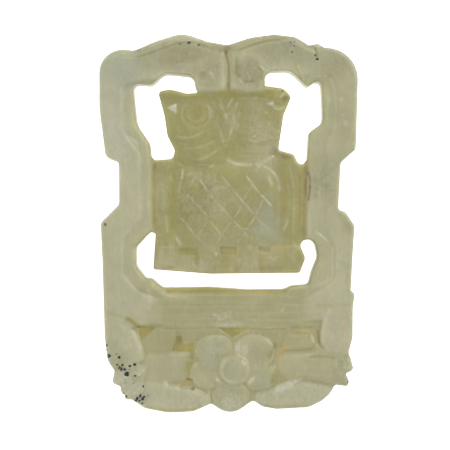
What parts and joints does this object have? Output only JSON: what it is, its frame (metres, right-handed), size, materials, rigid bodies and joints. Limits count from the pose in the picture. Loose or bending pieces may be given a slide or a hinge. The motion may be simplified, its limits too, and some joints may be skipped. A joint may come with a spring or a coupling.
{
  "type": "jade carving",
  "caption": "Flat pierced jade plaque carved with an owl inside a scrolled frame above a flower and leaves.",
  "frame": {"origin": "middle of the plaque's outline at the flat back it lies on", "axes": "+Z out of the carved face, +Y towards the scrolls at the top, +X to the right seen from the front"},
  "size_m": [0.0414, 0.06, 0.0063],
  "materials": {
    "jade": "polished"
  },
  "bodies": {
    "root": {"jade_plaque": "jade"}
  },
  "joints": []
}
